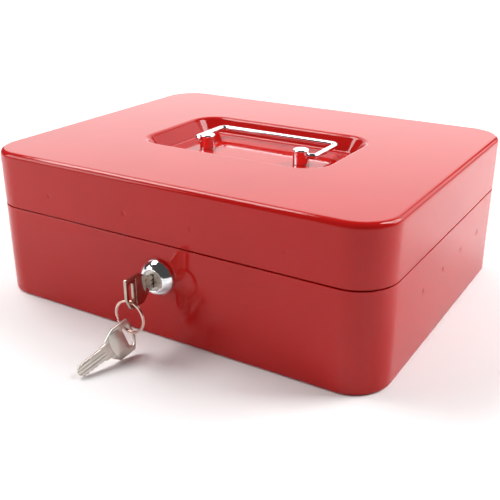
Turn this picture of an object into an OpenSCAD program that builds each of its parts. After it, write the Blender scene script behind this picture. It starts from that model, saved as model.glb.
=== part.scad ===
// Steel cash box: a drawn body and a hinged lid, a folding handle in a recess, a cam lock with
// two keys on a split ring, and a lift-out coin tray. All sizes are in millimetres.
// The origin is the centre of the underside. +X is right, +Y is back and +Z is up.

/* [Box] */
// Width of the closed box, left to right
box_w = 300; // [280:1:340]
// Depth of the closed box, front to back
box_d = 240; // [236:1:280]
// Height of the closed box
box_h = 106.5; // [104:0.5:125]
// Height of the seam between the body and the lid
seam_z = 67.5; // [65:0.5:70]
// Plan radius of the vertical corners
corner_r = 26; // [22:1:34]
// Thickness of the sheet steel
sheet = 0.9; // [0.7:0.1:1.1]
// Radius of the edge round the top of the lid
lid_edge_r = 4; // [2.5:0.5:6]
// Radius of the edge round the underside
base_edge_r = 2; // [1.5:0.5:3]
// Height of the rim that stands up inside the lid
rim_h = 6; // [4:0.5:7]
// How far the lid opens, in degrees
lid_open = 105; // [95:1:110]

/* [Handle] */
// Width of the handle recess at the top of the lid
recess_w = 148; // [140:1:170]
// Depth of the handle recess, front to back
recess_d = 92; // [88:1:110]
// How far the recess floor lies below the top of the lid
recess_depth = 11; // [10:0.5:13]
// Plan radius of the recess corners
recess_r = 20; // [18:1:26]
// Horizontal run of the sloping recess walls
recess_run = 9; // [7:0.5:11]
// Distance between the axes of the handle posts
post_pitch = 79; // [70:1:84]
// Diameter of the handle posts
post_d = 11.6; // [10:0.2:13]
// Distance of the posts in front of the middle of the lid
post_forward = 4.5; // [0:0.5:8]
// Diameter of the handle wire
wire_d = 4; // [3:0.2:4.4]
// Outer half width of the handle, to the middle of its wire
bail_half_w = 50; // [48:0.5:54]
// Reach of the handle from its pivot to the middle of the grip
bail_reach = 37; // [34:1:40]

/* [Hinges] */
// Width of each hinge
hinge_w = 36; // [30:1:50]
// Distance of each hinge from the middle of the box
hinge_x = 85; // [60:1:95]
// Height of each hinge leaf
leaf_h = 17; // [14:1:22]
// Diameter of the hinge pins
hinge_pin_d = 2.4; // [2:0.1:2.6]

/* [Lock] */
// Height of the lock axis above the underside
lock_z = 44; // [42:0.5:45]
// Diameter of the lock's bezel
bezel_d = 25; // [23:0.5:28]
// How far the bezel stands out of the wall
bezel_out = 7; // [6:0.5:8]
// Diameter of the threaded barrel
barrel_d = 18; // [17:0.5:19]
// Length of the barrel behind the wall
barrel_len = 16; // [15:0.5:17]
// Diameter of the turning plug
plug_d = 12; // [11.6:0.2:12.4]
// Reach of the cam from the lock axis to its tip
cam_reach = 29; // [28:0.5:30]

/* [Keys] */
// Width of the key bow
bow_w = 21; // [20.5:0.5:21.5]
// Length of the key bow
bow_len = 20; // [19:0.5:20.5]
// Length of a key, end to end
key_len = 44; // [43:0.5:44.5]
// Width of the key blade
blade_w = 8; // [7:0.2:8.2]
// Thickness of a key
key_t = 2; // [1.8:0.1:2]
// Mean radius of the split ring
ring_r = 10.6; // [10.5:0.1:10.7]

/* [Tray] */
// Width of the coin tray
tray_w = 288; // [270:1:288]
// Depth of the coin tray, front to back
tray_d = 200; // [180:1:200]
// Height of the coin tray
tray_h = 27; // [22:1:29]
// Coin wells in the front row
coin_wells = 5; // [4:1:6]
// Note wells in the back row
note_wells = 3; // [2:1:4]

/* [Hidden] */

$fn = 64;
eps = 0.01;

// Box
seam_gap = 0.4;
lid_low = seam_z + seam_gap / 2;
shoulder_z = seam_z - seam_gap / 2;
lid_clearance = 0.5;
joggle = sheet + lid_clearance;
edge_round = 0.35;
weld_sphere_r = 6;
weld_sink = 0.3;

// Recess and handle
lip_r = 2.6;
foot_r = 3;
slope = atan2(recess_depth, recess_run);
lip_reach = recess_r + lip_r * tan(slope / 2);
foot_x = recess_r - recess_run - foot_r * tan(slope / 2);
recess_z = box_h - recess_depth;
post_h = recess_depth - 0.2;
post_edge = 1.1;
post_y = -post_forward;
pivot_z = recess_z + post_h - wire_d / 2 - 2.2;
running = 0.06;
stub_in = post_pitch / 2 - 3.5;
elbow_r = 3.6;
grip_corner_r = 4.4;
screw_r = 2;
screw_head_r = 3.6;
washer_r = 4.5;
washer_t = 0.8;

// Hinges
knuckle_r = 2.6;
leaf_t = 1;
pin_r = hinge_pin_d / 2;
hinge_y = box_d / 2 + knuckle_r + 0.3;
knuckle_gap = 0.4;
knuckle_w = (hinge_w - 2 * knuckle_gap) / 3;
leaf_clear = knuckle_r + 0.6;
strap_t = 1;
strap_z = knuckle_r - strap_t - 0.1;
stop_tilt = lid_open - 90;
stop_len = 5.4;
rivet_x = hinge_w / 2 - 7;
rivet_r = 1.6;

// Lock, measured along its axis from the outer face of the front wall, inward positive
plug_r = plug_d / 2;
barrel_r = barrel_d / 2;
face_s = -bezel_out;
plug_face_s = face_s + 0.4;
head_r = plug_r + 1;
head_len = 2;
nut_t = 3.5;
tail_w = 7;
cam_t = 2;
cam_w = 11;
keyway_w = key_t + 0.3;
keyway_h = blade_w + 0.4;
wafer_count = 5;
wafer_first_s = -3.6;
wafer_pitch = 2.9;
wafer_t = 0.8;
wafer_w = 5.6;
wafer_h = 10;
spring_x = 3.9;
finger_w = 6;
finger_t = 2;
finger_len = 9.5;
strike_z = lock_z + cam_reach - finger_t - 0.8;
strike_out = 9;
cam_screw_r = 1.7;

// Keys: a key's own origin is the middle of its slot, +x runs to the end of the bow and
// +y to the side with the cut corner
slot_w = 4.2;
slot_len = 14;
slot_in = 4.5;
neck_w = 10;
bow_in = bow_len - slot_in;
shoulder_in = 20.2;
key_tip = key_len - slot_in;
slot_out = 28;
key_slot_y = -box_d / 2 - slot_out;
key_tip_s = key_tip - slot_out;
ring_wire_r = 0.55;
ring_turn = 0.45;
ring_lift = 1.3;
ring_z = lock_z - slot_len / 2 + ring_lift - ring_r + 0.1;
ring_x = -1.6;
spare_at = [-4.651, key_slot_y + 0.09, ring_z - 14.454];
spare_turn = [256.62, -14.323, 78.297];

// Tray
ledge_z = 48;
ledge_w = 9;
ledge_h = 11;
tray_z = ledge_z + 0.3;
tray_y = 7;
tray_r = 20;
tray_t = 2;
coin_row_d = 82;
scoop_r = 14;
tab_r = 15;
tab_hole_r = 8;

paint = [0.80, 0.13, 0.12];
steel = [0.72, 0.73, 0.75];
chrome = [0.86, 0.87, 0.89];
nickel = [0.78, 0.76, 0.71];
brass = [0.80, 0.66, 0.36];
black = [0.09, 0.09, 0.10];

// ---------------------------------------------------------------- shared shapes

// Points along an arc about [cx, cy], from angle a0 to angle a1
function arc(cx, cy, r, a0, a1, steps = 8) =
    [for (i = [0:steps]) let (a = a0 + (a1 - a0) * i / steps) [cx + r * cos(a), cy + r * sin(a)]];

function reversed(list) = [for (i = [len(list) - 1:-1:0]) list[i]];

// Sweeps a section round a rounded rectangle w by d with corner radius r. In the section, x
// runs outward from the corner centres, so x = r is the rectangle's edge, and y is the height.
module around(w, d, r) {
    for (i = [0:3]) {
        off = (i % 2 == 0 ? w : d) / 2 - r;
        run = (i % 2 == 0 ? d : w) - 2 * r;
        rotate([0, 0, 90 * i]) translate([off, run / 2, 0]) {
            rotate([90, 0, 0]) linear_extrude(run) children();
            rotate_extrude(angle = 90) children();
        }
    }
}

// Plan of a rounded rectangle
module rounded_plan(w, d, r) {
    square([w - 2 * r, d], center = true);
    square([w, d - 2 * r], center = true);
    for (sx = [-1, 1], sy = [-1, 1]) {
        translate([sx * (w / 2 - r), sy * (d / 2 - r)]) circle(r);
    }
}

// Half section of a closed pan, from its middle strip to its wall, with a rounded lower edge
module pan_section(reach, high, edge) {
    square([reach - edge, high]);
    translate([0, edge]) square([reach, high - edge]);
    translate([reach - edge, edge]) circle(edge);
}

// Puts its children on the lock axis, with +z inward and -y up
module on_lock() {
    translate([0, -box_d / 2, lock_z]) rotate([-90, 0, 0]) children();
}

// A dent where sheet was spot welded to a part behind it
module weld_dent() {
    sphere(weld_sphere_r, $fn = 48);
}

// ---------------------------------------------------------------- body

module body_section() {
    difference() {
        pan_section(corner_r, shoulder_z - edge_round, base_edge_r);
        translate([-eps, sheet]) pan_section(corner_r - sheet + eps, box_h, base_edge_r - sheet);
    }
    // shoulder that the lid stands over, with a rounded outer edge
    translate([corner_r - joggle - sheet, shoulder_z - sheet]) square([joggle + sheet - edge_round, sheet]);
    translate([corner_r - edge_round, shoulder_z - edge_round]) circle(edge_round, $fn = 24);
    // rim inside the lid
    translate([corner_r - joggle - sheet, shoulder_z - sheet]) square([sheet, rim_h + sheet]);
}

module body_shell() {
    color(paint) difference() {
        union() {
            around(box_w, box_d, corner_r) body_section();
            translate([corner_r - box_w / 2, corner_r - box_d / 2, 0])
                cube([box_w - 2 * corner_r, box_d - 2 * corner_r, sheet]);
        }
        on_lock() translate([0, 0, -5]) cylinder(h = 10, r = barrel_r + 0.2);
        for (side = [-1, 1], i = [0:3]) {
            translate([side * (box_w / 2 + weld_sphere_r - weld_sink), -50 + 38 * i, ledge_z - 5]) weld_dent();
        }
    }
}

// Ledge that carries one end of the tray, welded inside a side wall
module tray_ledge(side) {
    reach = box_w / 2 - sheet;
    color(paint) mirror([side < 0 ? 1 : 0, 0, 0]) {
        translate([reach - sheet, -62, ledge_z - ledge_h]) cube([sheet, 138, ledge_h]);
        translate([reach - ledge_w, -62, ledge_z - sheet]) cube([ledge_w, 138, sheet]);
    }
}

module tray_ledge_left() { tray_ledge(-1); }
module tray_ledge_right() { tray_ledge(1); }

// ---------------------------------------------------------------- hinges

// The hinge parts are drawn about the pin axis, with z up the wall and -y towards the wall.
// The middle knuckle is the lid's, and the outer two are the body's.
module leaf_plate(low) {
    translate([-hinge_w / 2, box_d / 2 - hinge_y, low]) cube([hinge_w, leaf_t, leaf_h - low]);
}

module rivet_holes() {
    for (s = [-1, 1]) {
        translate([s * rivet_x, box_d / 2 - hinge_y - 1, leaf_h - 5]) rotate([-90, 0, 0])
            cylinder(h = leaf_t + 2, r = rivet_r);
    }
}

module knuckle(x_low, width) {
    translate([x_low, 0, 0]) rotate([0, 90, 0]) cylinder(h = width, r = knuckle_r);
}

// Strap that joins a knuckle to its leaf
module knuckle_strap(x_low, width) {
    wall_y = box_d / 2 - hinge_y;
    translate([x_low, wall_y, strap_z]) cube([width, -wall_y, strap_t]);
    translate([x_low, wall_y, strap_z]) cube([width, leaf_t, leaf_clear + 1 - strap_z]);
}

module lid_leaf(side) {
    color(paint) translate([side * hinge_x, hinge_y, seam_z]) difference() {
        union() {
            leaf_plate(leaf_clear);
            knuckle_strap(-knuckle_w / 2, knuckle_w);
            knuckle(-knuckle_w / 2, knuckle_w);
        }
        rivet_holes();
        rotate([0, 90, 0]) cylinder(h = hinge_w + 2, r = pin_r + running, center = true);
    }
}

module body_leaf(side) {
    color(paint) translate([side * hinge_x, hinge_y, seam_z]) difference() {
        union() {
            mirror([0, 0, 1]) leaf_plate(leaf_clear);
            for (low = [-hinge_w / 2, hinge_w / 2 - knuckle_w]) {
                mirror([0, 0, 1]) knuckle_strap(low, knuckle_w);
                knuckle(low, knuckle_w);
                // stop that the lid's leaf lies back on
                rotate([-stop_tilt, 0, 0]) translate([low, 1.6, 0.5]) cube([knuckle_w, stop_len - 1.6, 1]);
            }
        }
        mirror([0, 0, 1]) rivet_holes();
        rotate([0, 90, 0]) cylinder(h = hinge_w + 2, r = pin_r + running / 2, center = true);
    }
}

module hinge_leaf_lid_left() { lid_leaf(-1); }
module hinge_leaf_lid_right() { lid_leaf(1); }
module hinge_leaf_body_left() { body_leaf(-1); }
module hinge_leaf_body_right() { body_leaf(1); }

module hinge_pin(side) {
    color(steel) translate([side * hinge_x, hinge_y, seam_z]) rotate([0, 90, 0]) {
        translate([0, 0, -hinge_w / 2 - 0.8]) cylinder(h = hinge_w + 1.6, r = pin_r);
        for (s = [-1, 1]) {
            translate([0, 0, s * (hinge_w / 2 + 0.5)]) cylinder(h = 0.7, r = pin_r + 0.6, center = true);
        }
    }
}

module hinge_pin_left() { hinge_pin(-1); }
module hinge_pin_right() { hinge_pin(1); }

// Blind rivets of one leaf of both hinges: a domed head outside and a shank up to the wall
module leaf_rivets(up) {
    for (side = [-1, 1], s = [-1, 1]) {
        translate([side * hinge_x + s * rivet_x, box_d / 2, seam_z + up * (leaf_h - 5)]) rotate([-90, 0, 0]) {
            cylinder(h = leaf_t, r = rivet_r - 0.05);
            translate([0, 0, leaf_t]) intersection() {
                cylinder(h = 1.2, r = rivet_r + 1.4);
                translate([0, 0, -3.5]) sphere(4.7);
            }
        }
    }
}

module hinge_rivets_lid() { color(steel) leaf_rivets(1); }
module hinge_rivets_body() { color(steel) leaf_rivets(-1); }

// ---------------------------------------------------------------- lid

// Section of the pressed recess: the sheet bends down over a lip, runs down a slope and bends
// out into the floor
module recess_section() {
    lip_x = lip_reach;
    polygon(concat(
        arc(lip_x, box_h - lip_r, lip_r, 90, 90 + slope),
        arc(foot_x, recess_z + foot_r, foot_r, 270 + slope, 270),
        [[0, recess_z], [0, recess_z - sheet]],
        reversed(arc(foot_x, recess_z + foot_r, foot_r + sheet, 270 + slope, 270)),
        reversed(arc(lip_x, box_h - lip_r, lip_r - sheet, 90, 90 + slope))));
}

module lid_section() {
    wall_h = box_h - lid_low;
    difference() {
        translate([0, box_h]) mirror([0, 1]) pan_section(corner_r, wall_h - edge_round, lid_edge_r);
        translate([-eps, box_h - sheet]) mirror([0, 1])
            pan_section(corner_r - sheet + eps, wall_h, lid_edge_r - sheet);
    }
    // rounded lower edge of the wall
    translate([corner_r - sheet, lid_low]) square([sheet - edge_round, edge_round]);
    translate([corner_r - edge_round, lid_low + edge_round]) circle(edge_round, $fn = 24);
}

module lid_shell() {
    color(paint) difference() {
        union() {
            difference() {
                union() {
                    around(box_w, box_d, corner_r) lid_section();
                    translate([corner_r - box_w / 2, corner_r - box_d / 2, box_h - sheet])
                        cube([box_w - 2 * corner_r, box_d - 2 * corner_r, sheet]);
                }
                around(recess_w, recess_d, recess_r)
                    translate([0, box_h - 2 * sheet]) square([lip_reach, 3 * sheet]);
                translate([recess_r - recess_w / 2, recess_r - recess_d / 2, box_h - 2 * sheet])
                    cube([recess_w - 2 * recess_r, recess_d - 2 * recess_r, 3 * sheet]);
            }
            around(recess_w, recess_d, recess_r) recess_section();
            translate([recess_r - recess_w / 2, recess_r - recess_d / 2, recess_z - sheet])
                cube([recess_w - 2 * recess_r, recess_d - 2 * recess_r, sheet]);
        }
        for (side = [-1, 1]) {
            translate([side * post_pitch / 2, post_y, recess_z - 5]) cylinder(h = 10, r = screw_r + 0.2);
        }
        for (x = [-91, -26, 26, 91]) {
            translate([x, -box_d / 2 - weld_sphere_r + weld_sink, seam_z + 14.5]) weld_dent();
        }
    }
}

// Strip welded inside the lid's front wall, with a tongue that hangs into the body and ends in
// the ledge that the cam's finger hooks over
module strike_plate() {
    inner = -box_d / 2 + sheet;
    tongue_y = inner + joggle + 0.8;
    tongue_top = lid_low + rim_h + 2;
    color(steel) {
        translate([-100, inner, tongue_top - sheet]) cube([200, sheet, 20]);
        translate([-9, inner, tongue_top - sheet]) cube([18, tongue_y - inner, sheet]);
        translate([-9, tongue_y, strike_z - sheet]) cube([18, sheet, tongue_top - strike_z + sheet]);
        translate([-finger_w / 2 - 1, tongue_y, strike_z - sheet]) cube([finger_w + 2, strike_out, sheet]);
    }
}

// ---------------------------------------------------------------- handle

module handle_post(side) {
    color(chrome) translate([side * post_pitch / 2, post_y, recess_z]) difference() {
        rotate_extrude() {
            square([post_d / 2, post_h - post_edge]);
            square([post_d / 2 - post_edge, post_h]);
            translate([post_d / 2 - post_edge, post_h - post_edge]) intersection() {
                circle(post_edge);
                square(post_edge);
            }
        }
        // bearing hole for the handle wire
        translate([side * -4, 0, pivot_z - recess_z]) rotate([0, side * 90, 0])
            cylinder(h = 12, r = wire_d / 2 + running);
        // threaded hole for the screw from below
        translate([0, 0, -eps]) cylinder(h = 4.2, r = screw_r + 0.05);
    }
}

module handle_post_left() { handle_post(-1); }
module handle_post_right() { handle_post(1); }

module handle_washers() {
    color(steel) for (side = [-1, 1]) {
        translate([side * post_pitch / 2, post_y, recess_z - sheet - washer_t]) difference() {
            cylinder(h = washer_t, r = washer_r);
            translate([0, 0, -1]) cylinder(h = 3, r = screw_r + 0.2);
        }
    }
}

// Pan-head screw along +z, with the underside of its head at z = 0
module pan_screw(shank_r, shank, wide_r, head) {
    difference() {
        union() {
            cylinder(h = shank, r = shank_r);
            translate([0, 0, -head + 0.5]) cylinder(h = head - 0.5, r = wide_r);
            translate([0, 0, -head]) cylinder(h = 0.5, r1 = wide_r - 0.6, r2 = wide_r);
        }
        for (turn = [0, 90]) {
            rotate([0, 0, turn]) translate([-wide_r * 0.55, -0.4, -head - 1]) cube([wide_r * 1.1, 0.8, 2]);
        }
    }
}

module handle_screws() {
    color(steel) for (side = [-1, 1]) {
        translate([side * post_pitch / 2, post_y, recess_z - sheet - washer_t])
            pan_screw(screw_r, sheet + washer_t + 3.6, screw_head_r, 2.2);
    }
}

// Quarter bend of the handle wire about z, starting on +x
module wire_bend(r) {
    rotate_extrude(angle = 90) translate([r, 0]) circle(wire_d / 2, $fn = 32);
}

module handle_bail() {
    color(chrome) translate([0, post_y, pivot_z]) {
        for (side = [-1, 1]) mirror([side < 0 ? 1 : 0, 0, 0]) {
            translate([stub_in, 0, 0]) rotate([0, 90, 0])
                cylinder(h = bail_half_w - elbow_r - stub_in, r = wire_d / 2, $fn = 32);
            translate([bail_half_w - elbow_r, elbow_r, 0]) rotate([0, 0, -90]) wire_bend(elbow_r);
            translate([bail_half_w, elbow_r, 0]) rotate([-90, 0, 0])
                cylinder(h = bail_reach - elbow_r - grip_corner_r, r = wire_d / 2, $fn = 32);
            translate([bail_half_w - grip_corner_r, bail_reach - grip_corner_r, 0]) wire_bend(grip_corner_r);
        }
        translate([grip_corner_r - bail_half_w, bail_reach, 0]) rotate([0, 90, 0])
            cylinder(h = 2 * (bail_half_w - grip_corner_r), r = wire_d / 2, $fn = 32);
    }
}

// ---------------------------------------------------------------- lock

// Chrome bezel and threaded barrel in one casting
module lock_housing() {
    dome_low = -1.6;
    face_r = 8.4;
    // centre and radius of the dome that passes through the bezel's rim and its front face
    dome_c = (pow(bezel_d / 2, 2) + pow(dome_low, 2) - pow(face_r, 2) - pow(face_s, 2)) / (2 * (dome_low - face_s));
    dome_r = sqrt(pow(bezel_d / 2, 2) + pow(dome_low - dome_c, 2));
    color(chrome) on_lock() difference() {
        union() {
            translate([0, 0, dome_low]) cylinder(h = -dome_low, r = bezel_d / 2);
            intersection() {
                translate([0, 0, dome_c]) sphere(dome_r);
                translate([0, 0, face_s]) cylinder(h = dome_low - face_s, r = bezel_d);
            }
            cylinder(h = barrel_len, r = barrel_r);
        }
        translate([0, 0, face_s - 1]) cylinder(h = barrel_len - face_s + 2, r = plug_r + running);
        translate([0, 0, face_s - 1]) cylinder(h = 1 + plug_face_s - face_s + head_len + running, r = head_r + running);
    }
}

module lock_nut() {
    color(steel) on_lock() translate([0, 0, sheet]) difference() {
        cylinder(h = nut_t, r = 13.4, $fn = 6);
        translate([0, 0, -1]) cylinder(h = nut_t + 2, r = barrel_r + 0.05);
    }
}

// Position of each wafer along the lock axis
function wafer_s(i) = wafer_first_s + i * wafer_pitch;

module lock_plug() {
    body_len = barrel_len - plug_face_s - 0.2;
    color(nickel) on_lock() difference() {
        union() {
            translate([0, 0, plug_face_s]) cylinder(h = body_len, r = plug_r);
            translate([0, 0, plug_face_s]) cylinder(h = head_len, r = head_r);
            translate([0, 0, barrel_len + cam_t / 2]) cube([tail_w, tail_w, cam_t + 0.8], center = true);
        }
        // keyway
        translate([-keyway_w / 2, -keyway_h / 2, plug_face_s - 1])
            cube([keyway_w, keyway_h, key_tip_s + 0.4 - plug_face_s + 1]);
        for (i = [0:wafer_count - 1]) {
            // slot for the wafer and pocket for its spring
            translate([0, 0, wafer_s(i)]) cube([wafer_w + 0.3, 2 * plug_r + 1, wafer_t + 0.2], center = true);
            translate([spring_x, 0.6, wafer_s(i)]) rotate([90, 0, 0]) cylinder(h = 4.4, r = 0.65, center = true, $fn = 16);
        }
        translate([0, 0, key_tip_s + 0.8]) cylinder(h = 12, r = cam_screw_r + 0.05);
    }
}

module lock_wafers() {
    color(brass) on_lock() for (i = [0:wafer_count - 1]) {
        translate([0, 0, wafer_s(i)]) difference() {
            cube([wafer_w, wafer_h, wafer_t], center = true);
            cube([keyway_w + 0.4, keyway_h + 0.2, wafer_t + 1], center = true);
        }
    }
}

// Wafer springs, each drawn as the sleeve that its coil fills
module wafer_springs() {
    color(steel) on_lock() for (i = [0:wafer_count - 1]) {
        translate([spring_x, 0.6, wafer_s(i)]) rotate([90, 0, 0]) difference() {
            cylinder(h = 4, r = 0.5, center = true, $fn = 16);
            cylinder(h = 5, r = 0.25, center = true, $fn = 16);
        }
    }
}

// Cam on the plug's tail. At rest it lies sideways, clear of the strike, with its finger
// bent forward
module lock_cam() {
    color(steel) on_lock() difference() {
        union() {
            translate([0, 0, barrel_len]) {
                cylinder(h = cam_t, r = cam_w / 2 + 1);
                translate([0, -cam_w / 2, 0]) cube([cam_reach - cam_w / 2, cam_w, cam_t]);
                translate([cam_reach - cam_w / 2, -finger_w / 2, 0]) cube([cam_w / 2, finger_w, cam_t]);
                translate([cam_reach - finger_t, -finger_w / 2, -finger_len])
                    cube([finger_t, finger_w, finger_len + cam_t]);
            }
        }
        translate([0, 0, barrel_len + cam_t / 2]) cube([tail_w + 0.1, tail_w + 0.1, cam_t + 1], center = true);
    }
}

module cam_washer() {
    color(steel) on_lock() translate([0, 0, barrel_len + cam_t + 0.5]) difference() {
        cylinder(h = washer_t, r = 6);
        translate([0, 0, -1]) cylinder(h = 3, r = cam_screw_r + 0.2);
    }
}

module cam_screw() {
    seat = barrel_len + cam_t + 0.5 + washer_t;
    color(steel) on_lock() translate([0, 0, seat]) rotate([180, 0, 0])
        pan_screw(cam_screw_r, 4.2, 3.4, 1.8);
}

// ---------------------------------------------------------------- keys

module bow_plan() {
    out = slot_in;
    half = bow_w / 2;
    polygon([[out, -half + 0.8], [out - 0.8, -half], [1 - bow_in + 6, -half], [-bow_in, -neck_w / 2 - 2],
        [-bow_in, neck_w / 2 + 2], [4 - bow_in, half - 0.6], [out - 3.8, half], [out, half - 7.5]]);
}

module blade_plan() {
    polygon([[-shoulder_in, -blade_w / 2], [-shoulder_in, blade_w / 2], [2.5 - key_tip, blade_w / 2],
        [-key_tip, 1.6], [-key_tip, -1.6], [2.5 - key_tip, -blade_w / 2]]);
}

module slot_plan() {
    square([slot_w, slot_len - slot_w], center = true);
    for (s = [-1, 1]) translate([0, s * (slot_len - slot_w) / 2]) circle(slot_w / 2, $fn = 32);
}

module key() {
    difference() {
        union() {
            linear_extrude(key_t, center = true) {
                bow_plan();
                translate([-shoulder_in, -neck_w / 2]) square([shoulder_in - bow_in, neck_w]);
                blade_plan();
            }
            // raised panel on both faces of the bow, round towards the blade
            linear_extrude(key_t + 0.5, center = true) intersection() {
                translate([5.3, 0]) circle(19);
                translate([-bow_in + 0.8, -bow_w / 2 + 2]) square([bow_in - 5.2, bow_w - 4]);
            }
        }
        linear_extrude(key_t + 2, center = true) {
            slot_plan();
            for (i = [0:3], s = [-1, 1]) {
                // shallow cuts for the wafers
                translate([-shoulder_in - 5.4 - 3.4 * i, s * (blade_w / 2 + 0.35)]) rotate(45)
                    square(1.4 + 0.3 * ((i + (s > 0 ? 1 : 0)) % 2), center = true);
            }
        }
        for (face = [-1, 1]) {
            translate([-key_tip - 1, face * 1.2 - 0.7, face > 0 ? key_t / 2 - 0.5 : -key_t / 2 - 0.5])
                cube([key_tip - shoulder_in + 2, 1.4, 1]);
        }
    }
}

module key_in_lock() {
    color(nickel) translate([0, key_slot_y, lock_z]) rotate([-90, 0, -90]) key();
}

module spare_key() {
    color(nickel) translate(spare_at) rotate(spare_turn) key();
}

// Two turns of wire side by side
module split_ring() {
    color(chrome) translate([ring_x, key_slot_y, ring_z]) rotate([90, 0, 0]) for (s = [-1, 1]) {
        translate([0, 0, s * ring_turn]) rotate_extrude() translate([ring_r, 0]) circle(ring_wire_r, $fn = 24);
    }
}

// ---------------------------------------------------------------- tray

// Ribs that part one row into wells, from low_y back over depth
module rib_row(count, low_y, depth) {
    pitch = (tray_w - tray_t) / count;
    for (i = [1:count - 1]) {
        translate([-tray_w / 2 + i * pitch, low_y - tray_t / 2, tray_t / 2])
            cube([tray_t, depth + tray_t, tray_h - tray_t / 2]);
    }
}

// Concave fill between the floor of the coin wells and their front or back wall
module scoop(wall_y, facing) {
    translate([-tray_w / 2, wall_y, tray_t]) rotate([90, 0, 90]) linear_extrude(tray_w)
        mirror([facing < 0 ? 1 : 0, 0])
            polygon(concat([[-eps, -eps]], reversed(arc(scoop_r, scoop_r, scoop_r, 190, 260)),
                [[-eps, scoop_r * 0.83]]));
}

module coin_tray() {
    front_y = -tray_d / 2 + tray_t;
    row_y = front_y + coin_row_d;
    color(black) translate([0, tray_y, tray_z]) {
        linear_extrude(tray_t) rounded_plan(tray_w, tray_d, tray_r);
        linear_extrude(tray_h) difference() {
            rounded_plan(tray_w, tray_d, tray_r);
            rounded_plan(tray_w - 2 * tray_t, tray_d - 2 * tray_t, tray_r - tray_t);
        }
        translate([tray_t / 2 - tray_w / 2, row_y, tray_t / 2]) cube([tray_w - tray_t, tray_t, tray_h - tray_t / 2]);
        rib_row(coin_wells, front_y, coin_row_d);
        rib_row(note_wells, row_y + tray_t, tray_d - coin_row_d - 3 * tray_t);
        intersection() {
            union() {
                scoop(front_y, 1);
                scoop(row_y, -1);
            }
            translate([0, 0, tray_t / 2]) linear_extrude(tray_h - tray_t)
                rounded_plan(tray_w - tray_t, tray_d - tray_t, tray_r - tray_t / 2);
        }
        // finger tabs at both ends
        for (side = [-1, 1]) {
            translate([side * (tray_w / 2 - tray_t / 2), 0, tray_h - tray_t]) rotate([90, 0, 90])
                linear_extrude(tray_t, center = true) difference() {
                    intersection() {
                        circle(tab_r);
                        translate([-tab_r, 0]) square([2 * tab_r, tab_r]);
                    }
                    circle(tab_hole_r);
                }
        }
    }
}

body_shell();
tray_ledge_left();
tray_ledge_right();
hinge_leaf_body_left();
hinge_leaf_body_right();
hinge_rivets_body();
hinge_pin_left();
hinge_pin_right();
lock_housing();
lock_nut();
lid_shell();
strike_plate();
hinge_leaf_lid_left();
hinge_leaf_lid_right();
hinge_rivets_lid();
handle_post_left();
handle_post_right();
handle_washers();
handle_screws();
handle_bail();
lock_plug();
lock_wafers();
wafer_springs();
lock_cam();
cam_washer();
cam_screw();
key_in_lock();
split_ring();
spare_key();
coin_tray();
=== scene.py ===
import math

import bmesh
import bpy
from mathutils import Euler, Matrix, Vector, geometry


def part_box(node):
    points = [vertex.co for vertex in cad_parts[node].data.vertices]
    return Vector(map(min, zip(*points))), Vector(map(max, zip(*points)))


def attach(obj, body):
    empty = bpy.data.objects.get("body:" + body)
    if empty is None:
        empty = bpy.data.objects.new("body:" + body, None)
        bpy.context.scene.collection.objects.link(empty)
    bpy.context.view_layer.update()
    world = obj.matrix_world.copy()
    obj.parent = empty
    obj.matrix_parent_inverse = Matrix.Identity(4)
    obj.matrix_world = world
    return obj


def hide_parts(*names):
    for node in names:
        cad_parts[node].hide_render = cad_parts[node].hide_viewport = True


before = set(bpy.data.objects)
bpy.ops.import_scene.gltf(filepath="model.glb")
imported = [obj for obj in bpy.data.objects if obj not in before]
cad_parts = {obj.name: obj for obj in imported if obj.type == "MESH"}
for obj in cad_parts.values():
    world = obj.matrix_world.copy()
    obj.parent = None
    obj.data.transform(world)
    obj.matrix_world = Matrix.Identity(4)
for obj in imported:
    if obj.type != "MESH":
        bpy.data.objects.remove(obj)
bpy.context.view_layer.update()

# All lengths below are in millimetres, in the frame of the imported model: the origin is the
# centre of the underside, +X is right, +Y is back and +Z is up.
MM = 0.001


def node_box(name):
    """Lowest and highest corner of a CAD node, in millimetres."""
    low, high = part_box(name)
    return low / MM, high / MM


BODY_HIGH = node_box("body_shell")[1]
LID_LOW, LID_HIGH = node_box("lid_shell")
BOX_W = LID_HIGH.x - LID_LOW.x
BOX_D = LID_HIGH.y - LID_LOW.y
BOX_H = LID_HIGH.z
SHEET = 0.9
CORNER_R = 26
LID_EDGE_R = 4
BASE_EDGE_R = 2
HEM_R = 0.44
# How far the rim stands in from the body's outer face
JOGGLE = 1.4
SEAM_GAP = 0.9
SHOULDER_Z = LID_LOW.z - SEAM_GAP
RECESS_W, RECESS_D, RECESS_R = 148, 92, 20
RECESS_DEPTH, RECESS_RUN = 11, 9
LIP_R, FOOT_R = 4.5, 3
LOCK_Z = 44
LOCK_HOLE_R = 9.2
SCREW_HOLE_R = 2.2
FRONT_Y = -BOX_D / 2
# Points of a mesh that are closer than this become one
WELD_REACH = 0.002
TAU = 2 * math.pi


# ---------------------------------------------------------------- shapes

def arc(cx, cy, r, start, end, steps=8):
    """Points along an arc, angles in degrees."""
    turns = [math.radians(start + (end - start) * i / steps) for i in range(steps + 1)]
    return [(cx + r * math.cos(a), cy + r * math.sin(a)) for a in turns]


def spread(low, high, steps):
    """steps + 1 values from low to high."""
    return [low + (high - low) * i / steps for i in range(steps + 1)]


def marks(base, centres, reach=2.6, steps=10):
    """The base values, with a close run of values round each centre."""
    kept = [v for v in base if all(abs(v - c) > reach for c in centres)]
    runs = [v for c in centres for v in spread(c - reach, c + reach, steps)]
    return sorted(kept + runs)


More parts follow.
